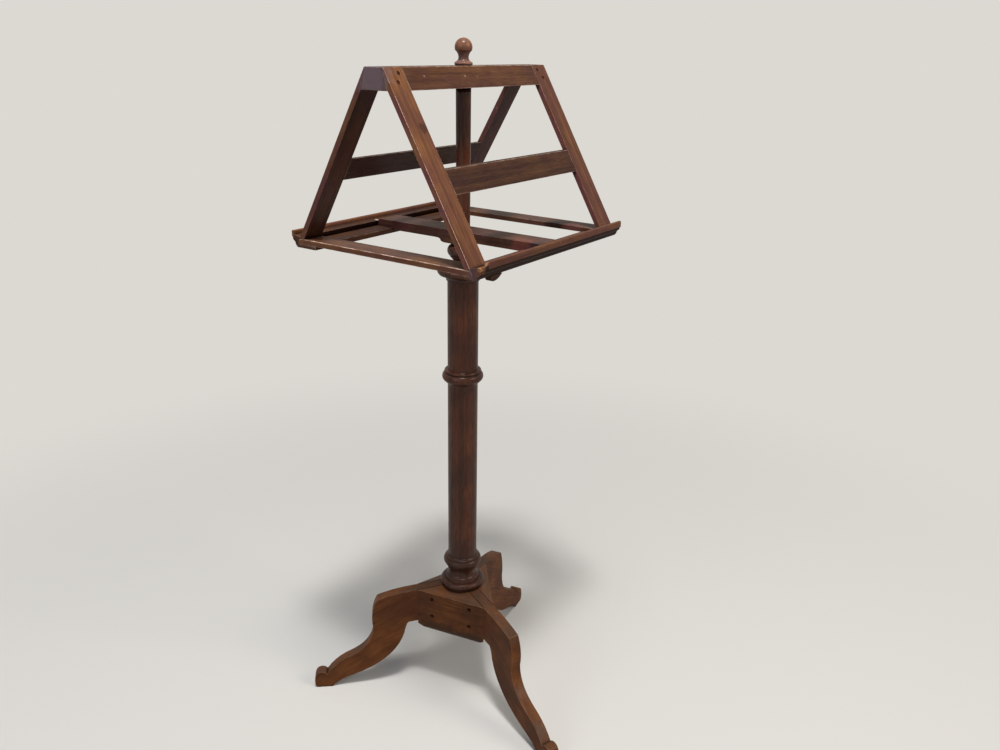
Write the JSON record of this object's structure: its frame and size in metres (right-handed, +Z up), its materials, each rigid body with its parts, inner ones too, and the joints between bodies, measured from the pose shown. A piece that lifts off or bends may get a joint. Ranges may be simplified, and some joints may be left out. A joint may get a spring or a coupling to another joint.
{
  "type": "duet music stand",
  "caption": "Wooden music stand with a ridge-shaped double desk that swivels on a turned column and stands on a tripod of sawn S-shaped legs.",
  "frame": {"origin": "centre of the overall box at floor height; the column's axis passes through x -46.8 mm, y 31.2 mm", "axes": "+Z up the column, +X along the ridge to the right as seen from the front desk, +Y from the front desk to the back desk"},
  "size_m": [0.5656, 0.5786, 1.3818],
  "materials": {
    "turned_wood": "old satin polish on turned mahogany",
    "tripod_wood": "old satin polish on sawn mahogany",
    "desk_wood": "worn satin polish on planed mahogany",
    "screw_steel": "darkened steel"
  },
  "bodies": {
    "base": {"column": "turned_wood", "column_cap": "turned_wood", "leg_back": "tripod_wood", "leg_left": "tripod_wood", "leg_front": "tripod_wood", "hub_block_left": "tripod_wood", "hub_block_front": "tripod_wood", "hub_block_right": "tripod_wood", "hub_screws": "screw_steel"},
    "head": {"post": "turned_wood", "finial": "turned_wood", "ridge_beam": "desk_wood", "ridge_peg": "desk_wood", "stile_front_left": "desk_wood", "stile_front_right": "desk_wood", "stile_back_left": "desk_wood", "stile_back_right": "desk_wood", "stile_screws": "screw_steel", "mid_rail_front": "desk_wood", "mid_rail_back": "desk_wood", "end_rail_left": "desk_wood", "end_rail_right": "desk_wood", "long_rail_front": "desk_wood", "long_rail_back": "desk_wood", "ledge_front": "desk_wood", "ledge_back": "desk_wood", "lip_front": "desk_wood", "lip_back": "desk_wood", "ledge_block": "desk_wood", "cross_rail": "desk_wood", "frame_screws": "screw_steel"}
  },
  "joints": [
    {"name": "head_swivel", "type": "hinge", "parent": "base", "child": "head", "pos_m": [-0.04684, 0.03122, 0.965], "axis": [0, 0, 1], "continuous": true}
  ]
}
